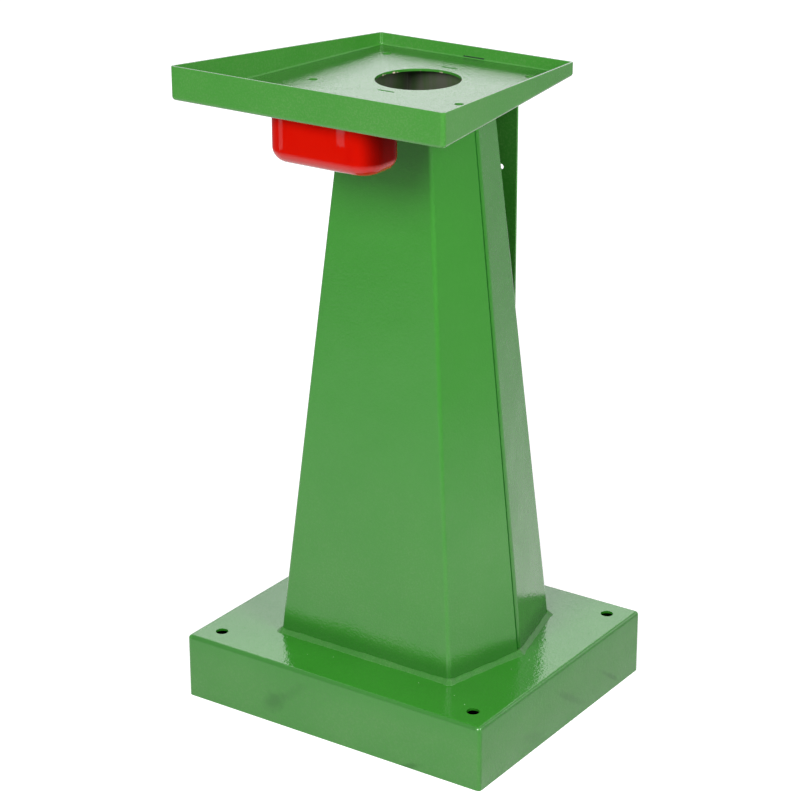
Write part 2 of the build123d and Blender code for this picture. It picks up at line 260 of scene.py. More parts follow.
greenCoat = {"colour": toRgb(47, 134, 33), "thin": toRgb(56, 140, 43), "drift": 0.5, "gloss": 0.5,
             "cell": 3.2 * mm, "grit": 0.5, "swell": 6.0, "relief": 0.16 * mm,
             "clean": 0.05, "hazy": 0.16, "film": 0.5, "rub": toRgb(20, 104, 0),
             "dust": toRgb(225, 205, 190), "dusty": 0.022, "dustFull": 0.15, "dustNone": 0.45}
baseCoat = dict(greenCoat, dustFull=0.05, dustNone=0.083, cell=4.0 * mm, relief=0.26 * mm)
trayCoat = dict(greenCoat, dusty=0.03, dustFull=1.0, dustNone=2.0, gloss=0.4, grit=0.9,
                relief=0.17 * mm, swell=2.0)
groundBase = dict(baseCoat, swell=14.0)  # over a ground weld, slightly wavy
groundTray = dict(trayCoat, swell=12.0)
plateCoat = dict(greenCoat, dust=toRgb(140, 205, 120), dusty=0.12,
                 dustFull=1.0, dustNone=2.0)  # in the spray's shadow: thin and misty
# a darker copy of the green: painted shade, because the bead's slope catches more lamp light
beadCoat = dict(greenCoat, colour=toRgb(35, 116, 26), thin=toRgb(44, 125, 34), gloss=0.3,
                cell=5.0 * mm, relief=0.05 * mm, swell=0.0, clean=0.3, hazy=0.45)
grooveShadeCoat = dict(beadCoat, colour=toRgb(26, 104, 22), thin=toRgb(30, 110, 26), gloss=0.03,
                  clean=0.5, hazy=0.6, dusty=0.0)  # painted shade down in the seam grooves, where little powder or dust reaches
spatterGlintCoat = dict(beadCoat, colour=toRgb(118, 180, 108), thin=toRgb(150, 200, 140), gloss=0.5,
                   clean=0.08, hazy=0.12)  # a paler tone on each drop: a painted highlight

insideCoat = {"bare": toRgb(88, 92, 78), "mist": toRgb(66, 92, 52), "roughness": 0.5,
              "axis": (0.0, 0.021, 0.0), "turned": -0.012,
              "streaks": {"stretch": (45.0, 45.0, 2.5), "detail": 4.0, "roughness": 0.6,
                          "span": (0.4, 0.62, 0.0, 1.0)}}  # overspray on bare steel
footShade = {"low": 97 * mm, "high": 119 * mm, "tone": toRgb(24, 98, 18),
             "share": 0.55}  # painted shade: darker just above the foot weld
paintedBendShade = {"from": 79.5 * mm, "full": 81.5 * mm, "end": 84.4 * mm, "top": 84.9 * mm,
             "tone": toRgb(24, 106, 10), "share": 0.5}  # painted shade along the base's top bends
beadToe = {"low": 85.2 * mm, "high": 86.1 * mm, "glint": toRgb(120, 182, 110), "share": 0.12,
           "patchy": {"scale": 120.0, "span": (0.42, 0.62, 0.0, 1.0)}}  # a painted highlight along the toe, here and there
tabShade = {"above": 797.6 * mm, "fade": 0.5 * mm,
            "tone": toRgb(38, 66, 40)}  # the tabs sit a little deep in their slots; their tops get a painted shade
# marks left on the base's skirts by handling: place, reach, slant and strength
rubMarks = [((-0.084, -0.175, 0.031), (0.024, 0.02, 0.019), -0.3, 0.6),
            ((-0.054, -0.175, 0.052), (0.03, 0.02, 0.013), -0.7, 0.22),
            ((0.120, -0.175, 0.003), (0.02, 0.02, 0.006), -0.4, 0.6),
            ((0.222, 0.035, 0.034), (0.02, 0.044, 0.009), 0.65, 0.45),
            ((0.222, 0.135, 0.022), (0.02, 0.030, 0.006), 0.7, 0.6),
            ((0.222, -0.052, 0.018), (0.02, 0.035, 0.012), 0.3, 0.25)]

def paintMaterial(name, look, marks=(), hollow=False, tabbed=False, toe=None, bendShade=None):
    material, tree, shader = startMaterial(name)
    shader.inputs["IOR"].default_value = coatIor
    shader.inputs["Specular IOR Level"].default_value = look["gloss"]
    where = objectPlace(tree)
    height = axisPart(tree, where, "Z")
    tone = useGroup(tree, toneDrift, Colour=look["colour"], Thin=look["thin"], Amount=look["drift"])
    roughness = useGroup(tree, handling, Amount=look["film"], Clean=look["clean"], Hazy=look["hazy"])
    veil = useGroup(tree, dustVeil, Amount=look["dusty"], Full=look["dustFull"], Clear=look["dustNone"])
    tone = mixColour(tree, veil, tone, look["dust"])
    for place, reach, slant, strength in marks:
        mask = useGroup(tree, rubMark, Place=place, Reach=reach, Slant=slant, Strength=strength)
        tone = mixColour(tree, mask, tone, look["rub"])
    if hollow:  # faces that look towards the column's axis have only overspray on them
        # painted shade on the column just above the foot weld
        shade = mapRange(tree, height, footShade["low"], footShade["high"], footShade["share"], 0.0)
        tone = mixColour(tree, shade, tone, footShade["tone"])
        inside = insideMask(tree, where)
        tone = mixColour(tree, inside, tone, oversprayTone(tree, where))
        roughness = mapRange(tree, inside, 0.0, 1.0, roughness, insideCoat["roughness"])
    if bendShade:
        # painted shade: a darker band along the bends
        up = mapRange(tree, height, bendShade["from"], bendShade["full"], 0.0, bendShade["share"])
        top = mapRange(tree, height, bendShade["end"], bendShade["top"], 1.0, 0.0)
        tone = mixColour(tree, product(tree, up, top), tone, bendShade["tone"])
    if toe:
        # painted highlight along the bead's toe
        glint = mapRange(tree, height, toe["low"], toe["high"], toe["share"], 0.0)
        patchy = noiseValue(tree, where, **toe["patchy"])
        tone = mixColour(tree, product(tree, glint, patchy), tone, toe["glint"])
    if tabbed:
        # painted shade on the tab tops inside their slots
        sunk = mapRange(tree, height, tabShade["above"], tabShade["above"] + tabShade["fade"], 0.0, 1.0)
        tone = mixColour(tree, sunk, tone, tabShade["tone"])
    joinTo(tree, tone, shader.inputs["Base Color"])
    joinTo(tree, roughness, shader.inputs["Roughness"])
    peel = useGroup(tree, orangePeel, Cell=look["cell"], Grit=look["grit"], Swell=look["swell"])
    raiseSurface(tree, shader, peel, look["relief"])
    return material

def insideMask(tree, where):  # 1 where a face looks well inwards, 0 where it looks out
    outward = vectorNode(tree, "MULTIPLY", vectorNode(tree, "SUBTRACT", where, insideCoat["axis"]), (1, 1, 0))
    normal = addNode(tree, "ShaderNodeTexCoord").outputs["Normal"]
    facing = vectorNode(tree, "DOT_PRODUCT", normal, outward)
    return mapRange(tree, facing, insideCoat["turned"], 0.0, 1.0, 0.0)

def oversprayTone(tree, where):
    streaks = noiseValue(tree, where, **insideCoat["streaks"])
    return mixColour(tree, streaks, insideCoat["bare"], insideCoat["mist"])

def finishNode(name, material):
    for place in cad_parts[name].material_slots:
        place.material = material

greenSheet = paintMaterial("greenSheet", greenCoat)
greenBase = paintMaterial("greenBase", baseCoat, marks=rubMarks, bendShade=paintedBendShade)
greenColumn = paintMaterial("greenColumn", greenCoat, hollow=True, tabbed=True)
greenPlate = paintMaterial("greenPlate", plateCoat, tabbed=True)
greenTray = paintMaterial("greenTray", trayCoat)
greenBaseCorner = paintMaterial("greenBaseCorner", groundBase)
greenTrayCorner = paintMaterial("greenTrayCorner", groundTray)
greenBead = paintMaterial("greenBead", beadCoat)
greenFootBead = paintMaterial("greenFootBead", beadCoat, toe=beadToe)
greenSpatterGlint = paintMaterial("greenSpatterGlint", spatterGlintCoat)
greenGrooveShade = paintMaterial("greenGrooveShade", grooveShadeCoat)

finishNode("base_pan", greenBase)
for shell in ("column_front_shell", "column_rear_shell"):
    finishNode(shell, greenColumn)
finishNode("tray_pan", greenTray)
for rail in ("cup_rail_left", "cup_rail_right"):
    finishNode(rail, greenSheet)
finishNode("rear_plate", greenPlate)
for corner in ("front_left", "front_right", "rear_left", "rear_right"):
    finishNode("base_corner_weld_" + corner, greenBaseCorner)
    finishNode("tray_corner_weld_" + corner, greenTrayCorner)
print("sheet metal painted")


def finishPiece(name, mesh, material, body, nodes):
    bmesh.ops.recalc_face_normals(mesh, faces=mesh.faces)
    data = bpy.data.meshes.new(name)
    mesh.to_mesh(data)
    mesh.free()
    data.shade_smooth()
    data.materials.append(material)
    piece = bpy.data.objects.new(name, data)
    scene.collection.objects.link(piece)
    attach(piece, body)
    if nodes:
        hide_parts(*nodes)

def skinRings(mesh, rings, closed):  # quads between neighbouring rings, and caps where the run ends
    for near, far in zip(rings, rings[1:] + rings[:1] if closed else rings[1:]):
        for k in range(len(near)):
            following = (k + 1) % len(near)
            mesh.faces.new((near[k], near[following], far[following], far[k]))
    if not closed:
        mesh.faces.new(rings[0])
        mesh.faces.new(rings[-1])


# weld beads

# an arc's mean height, how unevenly the arcs follow each other, a face's slope, and how thin a run may end
ripples = {"mean": 0.6, "uneven": 0.3, "unevenScale": 70, "unevenSeed": 3.1, "wanderSeed": 0.5,
           "slope": 0.7071, "leastEnd": 0.02}

def scallop(turns):
    return abs(math.sin(math.pi * turns)) - ripples["mean"]

def sweepBead(mesh, run, bead):  # a run is (points, outs, ups, closed)
    points, outs, ups, closed = run
    along = [0.0]
    for near, far in zip(points, points[1:]):
        along.append(along[-1] + (far - near).length)
    rings = []
    for place, out, up, distance in zip(points, outs, ups, along):
        fade = 1.0
        if not closed:  # rounded ends
            toEnd = min(1.0, min(distance, along[-1] - distance) / bead["endLength"])
            fade = math.sqrt(max(ripples["leastEnd"], 1 - (1 - toEnd) ** 2))
        wander = noise.noise(Vector((distance / bead["wanderLength"], bead["seed"], ripples["wanderSeed"])))
        swell = fade * (1 + bead["wander"] * wander)
        for nub, reach, gain in bead.get("nubs", ()):
            swell += gain * math.exp(-((place - nub).length / reach) ** 2)
        bite = bead["bite"]
        for root in bead.get("roots", ()):  # reaches deeper where the shells leave a groove
            bite += bead["rootBite"] * math.exp(-((place - root).length / bead["rootReach"]) ** 2)
        rings.append([mesh.verts.new(place + out * across + up * above)
                      for across, above in beadSection(bead, distance, swell, bite)])
    skinRings(mesh, rings, closed)

def beadSection(bead, distance, swell, bite):
    # the outline across the corner: its open face with curved ripples, then two points inside the metal
    legOut, legUp = bead["legOut"] * swell, bead["legUp"] * swell
    spot = Vector((distance * ripples["unevenScale"], ripples["unevenSeed"], 0))
    uneven = ripples["uneven"] * noise.noise(spot)
    outline = [(-bite, legUp)]
    for k in range(bead["steps"] + 1):
        share = k / bead["steps"]
        hump = math.sin(math.pi * share)
        ripple = bead["ripple"] * scallop(distance / bead["pitch"] + bead["curl"] * hump + uneven)
        rise = (bead["crown"] * swell + ripple) * hump * ripples["slope"]
        outline.append((legOut * share + rise, legUp * (1 - share) ** bead["hollow"] + rise))
    outline.append((legOut, -bead["bite"]))
    outline.append((-bite, -bead["bite"]))
    return outline

def evenRun(corners, step, closed):  # points at equal steps along straight runs
    ends = corners[1:] + corners[:1] if closed else corners[1:]
    lengths = [(far - near).length for near, far in zip(corners, ends)]
    total = sum(lengths)
    count = max(2, round(total / step))
    places = []
    for k in range(count if closed else count + 1):
        left = total * k / count
        for near, far, length in zip(corners, ends, lengths):
            if left <= length + 1e-9:  # with a hair to spare for rounding
                places.append(near.lerp(far, left / length if length else 0))
                break
            left -= length
    return places

arcSteps = 8  # of each rounded corner

def roundCorners(corners, rounds):  # a closed plan outline with an arc at each corner
    smooth = []
    for k, corner in enumerate(corners):
        before = (corners[k - 1] - corner).normalized()
        after = (corners[(k + 1) % len(corners)] - corner).normalized()
        half = before.angle(after) / 2
        middle = corner + (before + after).normalized() * rounds[k] / math.sin(half)
        start = corner + before * rounds[k] / math.tan(half) - middle
        end = corner + after * rounds[k] / math.tan(half) - middle
        sweep = math.pi - 2 * half
        for step in range(arcSteps + 1):
            share = step / arcSteps
            smooth.append(middle + (start * math.sin((1 - share) * sweep) + end * math.sin(share * sweep))
                          / math.sin(sweep))
    return smooth


# the column's outline, which the beads follow

column = {"footLevel": 0.085, "headLevel": 0.797, "footHalfFront": 0.1285, "headHalfFront": 0.061,
          "footHalfDepth": 0.1165, "headHalfDepth": 0.0685, "footMiddle": 0.0175, "headMiddle": 0.023,
          "sideSplay": 0.25, "fold": 5.0 * mm, "seamRound": 0.5 * mm}

def columnAt(z):
    share = (z - column["footLevel"]) / (column["headLevel"] - column["footLevel"])
    def between(foot, head):
        return column[foot] + (column[head] - column[foot]) * share
    return (between("footHalfFront", "headHalfFront"), between("footHalfDepth", "headHalfDepth"),
            between("footMiddle", "headMiddle"))

def columnCorners(z):  # front right, seam right, rear right, rear left, seam left, front left
    halfFront, halfDepth, middle = columnAt(z)
    seam = halfFront + column["sideSplay"] * halfDepth
    return [Vector((x, middle + y, z)) for x, y in
            ((halfFront, -halfDepth), (seam, 0), (halfFront, halfDepth),
             (-halfFront, halfDepth), (-seam, 0), (-halfFront, -halfDepth))]

def columnRing(z, step):
    corners = columnCorners(z)
    fold, seam = column["fold"], column["seamRound"]
    outline = evenRun(roundCorners(corners, (fold, seam, fold, fold, seam, fold)), step, True)
    outs = []
    for k in range(len(outline)):
        run = (outline[(k + 1) % len(outline)] - outline[k - 1]).normalized()
        outs.append(run.cross(Vector((0, 0, 1))))
    return outline, outs

def addBead(name, runs, bead, nodes, material=greenBead):
    mesh = bmesh.new()
    for run in runs:
        sweepBead(mesh, run, bead)
    finishPiece(name, mesh, material, "stand", nodes)

footBead = {"legOut": 5.4 * mm, "legUp": 4.8 * mm, "bite": 0.8 * mm, "crown": 0.15 * mm, "hollow": 1.3,
            "ripple": 0.28 * mm, "pitch": 2.9 * mm, "curl": 0.5, "wander": 0.2, "wanderLength": 14 * mm,
            "seed": 1.7, "steps": 8, "step": 0.6 * mm, "nub": 0.28, "nubReach": 5 * mm,
            "rootBite": 3.4 * mm, "rootReach": 9 * mm}
seamCorners = (4, 1)  # the left and right seams among the column's corners

def makeFootWeld(bead):
    outline, outs = columnRing(column["footLevel"], bead["step"])
    corners = columnCorners(column["footLevel"])
    bead = dict(bead, nubs=[(corner, bead["nubReach"], bead["nub"]) for corner in corners],
                roots=[corners[k] for k in seamCorners])
    run = (outline, outs, [Vector((0, 0, 1))] * len(outline), True)
    addBead("foot_weld_bead", [run], bead, ["column_foot_weld"], greenFootBead)

makeFootWeld(footBead)

seamBead = {"face": [(-2.9, -3.75), (-2.8, -3.1), (-2.7, -1.6), (-2.65, 0.0), (-2.75, 1.2), (-3.0, 2.3)],
            "root": [(-3.6, 1.1), (-3.75, -3.75)],  # outward and rearward of the widest line, in millimetres
            "halfWidth": 3.0, "ripple": 0.25 * mm, "pitch": 2.4 * mm, "curl": 0.4, "step": 0.7 * mm}

def makeSeamWeld(side, bead):  # lies deep in the groove between the square edge and the folded one
    seam = seamCorners[side > 0]
    foot, head = columnCorners(column["footLevel"])[seam], columnCorners(column["headLevel"])[seam]
    mesh = bmesh.new()
    rings = []
    for place in evenRun([foot, head], bead["step"], False):
        turns = (place - foot).length / bead["pitch"]
        ring = []
        for outward, rearward in bead["face"]:
            share = rearward / bead["halfWidth"]
            ripple = bead["ripple"] * scallop(turns + bead["curl"] * share ** 2)
            lift = outward * mm + ripple * max(0.0, 1 - share ** 2)
            ring.append(place + Vector((side * lift, rearward * mm, 0)))
        for outward, rearward in bead["root"]:
            ring.append(place + Vector((side * outward * mm, rearward * mm, 0)))
        rings.append([mesh.verts.new(corner) for corner in ring])
    skinRings(mesh, rings, False)
    where = "right" if side > 0 else "left"
    nodes = ["column_seam_weld_" + where]
    finishPiece("seam_weld_bead_" + where, mesh, greenGrooveShade, "stand", nodes)

for side in (-1, 1):
    makeSeamWeld(side, seamBead)

stitchBead = dict(footBead, legOut=3.8 * mm, legUp=3.8 * mm, crown=0.45 * mm, ripple=0.3 * mm, pitch=2.6 * mm,
                  hollow=1.0, wander=0.15, endLength=4 * mm, step=0.5 * mm, seed=4.2, length=36 * mm)

def straightRun(start, end, out, up, step):
    places = evenRun([start, end], step, False)
    return (places, [out] * len(places), [up] * len(places), False)

def makeHeadWelds(bead):  # short beads between the column's head and the tray's underside
    corners = columnCorners(column["headLevel"])
    down = Vector((0, 0, -1))
    runs = []
    for k, near in enumerate(corners):
        far = corners[(k + 1) % len(corners)]
        along = (far - near).normalized()
        out = along.cross(Vector((0, 0, 1)))
        middle, half = (near + far) / 2, along * bead["length"] / 2
        runs.append(straightRun(middle - half, middle + half, out, down, bead["step"]))
    addBead("head_weld_beads", runs, bead, ["column_head_welds"])

makeHeadWelds(stitchBead)

plate = {"back": 147.5 * mm, "halfWidth": 63.5 * mm, "tabHalf": 15 * mm, "foot": 85 * mm, "head": 797 * mm,
         "headInset": 2.4 * mm, "headLift": 0.2 * mm}
plateBead = dict(stitchBead, seed=6.3)
grooveBead = dict(stitchBead, legOut=2.8 * mm, legUp=2.8 * mm, crown=0.5 * mm, bite=1.0 * mm, seed=8.1)

def makePlateWelds():
    back, up = Vector((0, 1, 0)), Vector((0, 0, 1))
    feet, heads = [], []
    for side in (-1, 1):
        middle = side * (plate["halfWidth"] + plate["tabHalf"]) / 2
        for runs, bead, y, z in ((feet, plateBead, plate["back"], plate["foot"]),
                                 (heads, grooveBead, plate["back"] - plate["headInset"],
                                  plate["head"] + plate["headLift"])):
            start, end = (Vector((middle + half, y, z)) for half in (-bead["length"] / 2, bead["length"] / 2))
            runs.append(straightRun(start, end, back, up, bead["step"]))
    addBead("plate_foot_beads", feet, plateBead, ["rear_plate_foot_welds"])
    addBead("plate_head_beads", heads, grooveBead, ["rear_plate_head_welds"])

makePlateWelds()

tackBead = dict(stitchBead, legOut=1.9 * mm, legUp=1.9 * mm, crown=0.25 * mm, ripple=0.15 * mm, bite=0.4 * mm,
                endLength=2.5 * mm, pitch=2.0 * mm, seed=9.4, length=14 * mm)

def makeRailTacks(bead):
    low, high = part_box("cup_rail_welds")
    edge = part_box("cup_rail_right")[1].x
    down = Vector((0, 0, -1))
    runs = []
    for side in (-1, 1):
        for near in (low.y, high.y - bead["length"]):
            start, end = (Vector((side * edge, y, high.z)) for y in (near, near + bead["length"]))
            runs.append(straightRun(start, end, Vector((side, 0, 0)), down, bead["step"]))
    addBead("rail_tack_beads", runs, bead, ["cup_rail_welds"])

makeRailTacks(tackBead)

# x, y and radius of each drop, in millimetres
spatter = {"level": 85.0 * mm, "lumps": 0.3, "lumpScale": 1.3,
           "flatten": 0.8, "sunk": 0.07, "deepest": 0.2 * mm,
           "drops": [(119.8, -86.2, 1.5), (117.0, -85.9, 1.0), (173.1, -133.7, 0.7), (150.2, -121.5, 0.6),
                     (128.0, -99.4, 0.5), (96.0, -118.3, 0.6), (-31.0, -121.0, 0.6), (-112.0, -109.4, 0.7),
                     (-62.5, -133.0, 0.5), (176.4, 9.5, 0.8), (171.0, -24.0, 0.6), (-176.0, 22.0, 0.7),
                     (-150.0, 95.0, 0.8), (141.0, 108.0, 0.7), (20.0, 165.5, 0.6)]}

def lumpyBall(mesh, look, offset):  # a ball of about unit size, as its corners and their lumpy places
    corners = bmesh.ops.create_icosphere(mesh, subdivisions=3, radius=1.0)["verts"]
    return [(corner, corner.co * (1 + look["lumps"] * noise.noise(corner.co * look["lumpScale"] + offset)))
            for corner in corners]

def makeSpatter(look):  # small drops that flew off while the foot was welded, painted over
    mesh = bmesh.new()
    for x, y, radius in look["drops"]:
        seat = Vector((x * mm, y * mm, look["level"]))
        for corner, lump in lumpyBall(mesh, look, Vector((x, y, 0))):
            across, run, rise = lump * radius * mm
            rise = rise * look["flatten"] - look["sunk"] * radius * mm
            corner.co = seat + Vector((across, run, max(-look["deepest"], rise)))
    finishPiece("weld_spatter", mesh, greenSpatterGlint, "stand", [])

makeSpatter(spatter)
print("weld beads laid")


# dross left by the torch along the lower edge of the round cable opening

# angle in degrees, thickness and half length of each drop in millimetres
dross = {"middle": (0.0, 0.023), "radius": 52.0 * mm, "level": 797.2 * mm, "lumps": 0.35, "lumpScale": 1.6,
         "outwards": 0.6, "upwards": 0.8,
         "drops": [(178.6, 1.3, 1.5), (174.0, 0.7, 0.6), (158.2, 1.5, 2.2), (153.0, 0.8, 1.0),
                   (121.0, 0.5, 0.5), (93.5, 0.8, 0.9), (90.6, 1.1, 1.0), (41.0, 0.7, 0.8), (12.0, 0.5, 0.6),
                   (-38.0, 0.8, 1.1), (-102.0, 0.7, 0.9), (-107.0, 0.5, 0.5), (-146.0, 0.6, 0.7)]}
drossSkin = {"bright": toRgb(214, 196, 180), "scaled": toRgb(150, 128, 108), "roughness": (0.25, 0.6),
             "mottle": {"scale": 900.0, "detail": 3.0, "span": (0.4, 0.65, 0.0, 1.0)},
             "grain": {"scale": 1400.0}, "metal": 0.35, "relief": 0.2 * mm}

def drossMaterial(look):
    material, tree, shader = startMaterial("bareDross")
    where = objectPlace(tree)
    mottle = noiseValue(tree, where, **look["mottle"])
    joinTo(tree, mixColour(tree, mottle, look["bright"], look["scaled"]), shader.inputs["Base Color"])
    joinTo(tree, mapRange(tree, mottle, 0.0, 1.0, *look["roughness"]), shader.inputs["Roughness"])
    shader.inputs["Metallic"].default_value = look["metal"]
    raiseSurface(tree, shader, noiseValue(tree, where, **look["grain"]), look["relief"])
    return material

def makeDross(look):
    mesh = bmesh.new()
    for angle, thick, half in look["drops"]:
        turn = math.radians(angle)
        outward = Vector((math.cos(turn), math.sin(turn), 0))
        along = Vector((-math.sin(turn), math.cos(turn), 0))
        seat = Vector((*look["middle"], look["level"])) + outward * look["radius"]
        for corner, lump in lumpyBall(mesh, look, Vector((angle, 0, 0))):
            across, run, rise = lump * mm
            corner.co = (seat + outward * across * thick * look["outwards"] + along * run * half
                         + Vector((0, 0, rise * thick * look["upwards"])))
    finishPiece("opening_dross", mesh, drossMaterial(drossSkin), "stand", [])

makeDross(dross)
print("dross set")


# water cup

redEnamel = {"colour": toRgb(198, 14, 1), "deep": toRgb(193, 6, 1), "paintedShade": toRgb(112, 3, 0),
             "pool": {"scale": 30.0, "detail": 3.0, "span": (0.4, 0.7, 0.0, 0.5)},
             "gloss": 0.02, "film": 0.4, "clean": 0.06, "hazy": 0.16,
             "shadeFrom": 57 * mm, "shadeTo": 79 * mm, "glazeFrom": 753 * mm, "glazeTo": 747 * mm,
             "glaze": 0.8, "glazeRoughness": 0.04,
             "cell": 9 * mm, "grit": 0.05, "swell": 4.0, "relief": 0.03 * mm}
glazeRuns = [(-48.5 * mm, 3.4 * mm, 754 * mm),
             (35.6 * mm, 6.0 * mm, 771 * mm)]  # middle, half width, lower end
runNoise = {"waver": {"scale": 160.0}, "waverReach": 2 * mm, "side": (0.6, 1.15, 1.0, 0.0),
            "ragged": {"stretch": (700.0, 700.0, 60.0), "detail": 1.0}, "raggedReach": 12 * mm,
            "end": (-1 * mm, 2 * mm, 0.0, 1.0)}

def glazeRunGroup(look):  # a run of clear glaze down a wall, its lower end ragged
    inputs = {"Middle": 0.0, "HalfWidth": 5 * mm, "Low": 0.0}
    group, taken, given = startGroup("glazeRun", inputs, {"Mask": "Float"})
    where = objectPlace(group)
    waver = swing(group, noiseValue(group, where, **look["waver"]), look["waverReach"])
    across = mathNode(group, "SUBTRACT", axisPart(group, where, "X"), taken.outputs["Middle"])
    across = mathNode(group, "ABSOLUTE", mathNode(group, "ADD", waver, across))
    side = mapRange(group, mathNode(group, "DIVIDE", across, taken.outputs["HalfWidth"]), *look["side"])
    ragged = swing(group, noiseValue(group, where, **look["ragged"]), look["raggedReach"])
    above = mathNode(group, "ADD", axisPart(group, where, "Z"), ragged)
    end = mapRange(group, mathNode(group, "SUBTRACT", above, taken.outputs["Low"]), *look["end"])
    joinTo(group, product(group, side, end), given.inputs["Mask"])
    return group

glazeRun = glazeRunGroup(runNoise)

def enamelMaterial(look):
    material, tree, shader = startMaterial("redEnamel")
    shader.inputs["IOR"].default_value = coatIor
    shader.inputs["Specular IOR Level"].default_value = look["gloss"]
    where = objectPlace(tree)
    tone = mixColour(tree, noiseValue(tree, where, **look["pool"]), look["colour"], look["deep"])
    glaze = mapRange(tree, axisPart(tree, where, "Z"), look["glazeTo"], look["glazeFrom"], look["glaze"], 0.0)
    # painted shade: the enamel darkens towards its right end
    paintedShade = mapRange(tree, axisPart(tree, where, "X"), look["shadeFrom"], look["shadeTo"], 0.0, 1.0)
    paintedShade = product(tree, paintedShade, mathNode(tree, "SUBTRACT", 1.0, glaze))
    joinTo(tree, mixColour(tree, paintedShade, tone, look["paintedShade"]), shader.inputs["Base Color"])
    for middle, halfWidth, low in glazeRuns:
        run = useGroup(tree, glazeRun, Middle=middle, HalfWidth=halfWidth, Low=low)
        glaze = mathNode(tree, "MAXIMUM", glaze, run)
    joinTo(tree, glaze, shader.inputs["Coat Weight"])  # the clear glaze ran down and pooled round the bottom
    shader.inputs["Coat Roughness"].default_value = look["glazeRoughness"]
    touched = useGroup(tree, handling, Amount=look["film"], Clean=look["clean"], Hazy=look["hazy"])
    joinTo(tree, touched, shader.inputs["Roughness"])
    peel = useGroup(tree, orangePeel, Cell=look["cell"], Grit=look["grit"], Swell=look["swell"])
    raiseSurface(tree, shader, peel, look["relief"])
    return material

cup = {"halfWidth": 75 * mm, "front": -185.5 * mm, "back": -111.5 * mm, "bottom": 736 * mm, "top": 795.5 * mm,
       "corner": 28 * mm, "leastCorner": 0.4 * mm, "bottomRound": 17 * mm, "wall": 2 * mm,
       "rim": 8 * mm, "rimRound": 0.95 * mm, "crown": 1.0 * mm, "crownFade": 0.8, "crownBelow": 0.6,
       "flat": (12 * mm, 4 * mm), "cornerSteps": 20, "sideSteps": 16, "bottomSteps": 18, "innerSteps": 10,
       "rimSteps": 6, "wallShares": (0.25, 0.5, 0.75),
       # inset, height over the rim's underside or top, and crown
       "neck": [(0.0, -2.5 * mm, 0.1), (-0.35 * mm, -0.9 * mm, 0.05), (-1.3 * mm, 0.0, 0.0)],
       "mouth": [(-1.0 * mm, 0.0, 0.0), (0.4 * mm, -0.25 * mm, 0.0), (1.4 * mm, -1.1 * mm, 0.0),
                 (2 * mm, -2.6 * mm, 0.1)]}

def cupRing(inset, crown):  # the cup's rounded plan, moved in by inset and crowned on its flat sides
    halfX, halfY = cup["halfWidth"] - inset, (cup["back"] - cup["front"]) / 2 - inset
    radius = max(cup["leastCorner"], cup["corner"] - inset)
    middle = (cup["front"] + cup["back"]) / 2
    centres = [Vector((right * (halfX - radius), rear * (halfY - radius)))
               for right, rear in ((1, -1), (1, 1), (-1, 1), (-1, -1))]
    ring = []
    for quarter in range(4):
        turn = quarter * math.pi / 2
        for k in range(cup["cornerSteps"] + 1):
            angle = turn - math.pi / 2 + k / cup["cornerSteps"] * math.pi / 2
            ring.append(centres[quarter] + radius * Vector((math.cos(angle), math.sin(angle))))
        start = ring[-1]
        end = centres[(quarter + 1) % 4] + radius * Vector((math.cos(turn), math.sin(turn)))
        ring += [start.lerp(end, k / cup["sideSteps"]) for k in range(1, cup["sideSteps"])]
    crowned = []
    for x, y in ring:
        bulgeX = crown * math.cos(math.pi / 2 * min(1, abs(y) / halfY)) ** 2 * (x / halfX)
        bulgeY = crown * math.cos(math.pi / 2 * min(1, abs(x) / halfX)) ** 2 * (y / halfY)
        crowned.append((x + bulgeX, y + bulgeY + middle))
    return crowned

def bendPoint(radius, angle):  # how far in and up: on the bottom at no angle, on the wall at a right angle
    return radius * (1 - math.sin(angle)), radius * (1 - math.cos(angle))

def cupProfile():  # (inset, height, crown) from the outside of the bottom up, over the rim and down inside
    wall, bend, rim, lip = cup["wall"], cup["bottomRound"], cup["rim"], cup["rimRound"]
    low, high = cup["bottom"], cup["top"]
    straight = high - low - bend
    walls = [(low + bend + straight * share, 1.0 - share * cup["crownFade"]) for share in cup["wallShares"]]
    profile = [(bend + flat, low, 0.0) for flat in cup["flat"]]
    for k in range(cup["bottomSteps"] + 1):
        share = k / cup["bottomSteps"]
        inwards, upwards = bendPoint(bend, share * math.pi / 2)
        profile.append((inwards, low + upwards, share * cup["crownBelow"]))
    profile += [(0.0, height, crown) for height, crown in walls]
    under = high - wall  # the rim turns outwards here
    profile += [(inset, under + rise, crown) for inset, rise, crown in cup["neck"]]
    for k in range(cup["rimSteps"] + 1):
        angle = k / cup["rimSteps"] * math.pi
        profile.append((-rim + lip - lip * math.sin(angle), under + lip * (1 - math.cos(angle)), 0.0))
    profile += [(inset, high + rise, crown) for inset, rise, crown in cup["mouth"]]
    profile += [(wall, height, crown) for height, crown in reversed(walls)]
    for k in range(cup["innerSteps"] + 1):
        inwards, upwards = bendPoint(bend - wall, math.pi / 2 * (1 - k / cup["innerSteps"]))
        profile.append((wall + inwards, low + wall + upwards, 0.0))
    profile += [(bend + flat, low + wall, 0.0) for flat in reversed(cup["flat"])]
    return profile

def makeCup():
    mesh = bmesh.new()
    rings = [[mesh.verts.new((x, y, height)) for x, y in cupRing(inset, crown * cup["crown"])]
             for inset, height, crown in cupProfile()]
    skinRings(mesh, rings, False)
    finishPiece("water_cup_enamel", mesh, enamelMaterial(redEnamel), "water_cup", ["water_cup"])

makeCup()
print("water cup made")


# floor, world and lamps

